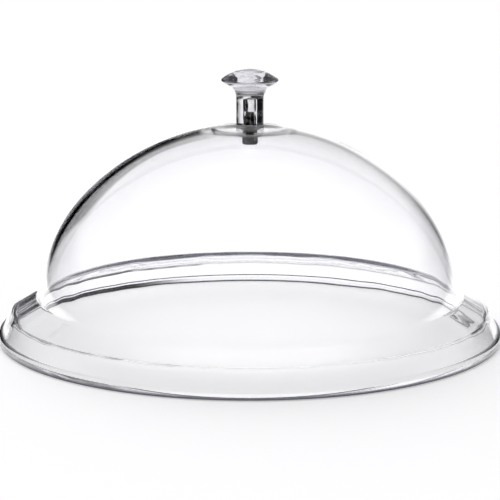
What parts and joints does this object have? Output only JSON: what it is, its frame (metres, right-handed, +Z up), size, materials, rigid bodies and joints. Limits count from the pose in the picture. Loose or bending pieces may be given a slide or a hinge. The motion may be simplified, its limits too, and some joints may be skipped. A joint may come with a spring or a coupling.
{
  "type": "buffet food cover dome",
  "caption": "Clear domed buffet food cover with a stepped, lipped rim and a solid clear knob that a dark cap screw holds through the flat seat on its crown.",
  "frame": {"origin": "centre of the circle that the rim rests on, on the table", "axes": "+Z up along the dome's axis; the shape is round, so X and Y may be taken any way about it"},
  "size_m": [0.33, 0.33, 0.1753],
  "materials": {
    "clear_shell": "polished clear acrylic",
    "clear_knob": "polished clear acrylic, solid",
    "soft_clear": "translucent silicone",
    "nylon": "translucent natural nylon",
    "dark_steel": "black oxide, oiled"
  },
  "bodies": {
    "cover": {"dome_shell": "clear_shell"},
    "knob": {"knob": "clear_knob", "knob_gasket": "soft_clear", "screw_washer": "nylon", "knob_screw": "dark_steel"}
  },
  "joints": [
    {"name": "knob_turn", "type": "hinge", "parent": "cover", "child": "knob", "pos_m": [0, 0, 0.137], "axis": [0, 0, 1], "continuous": true}
  ]
}
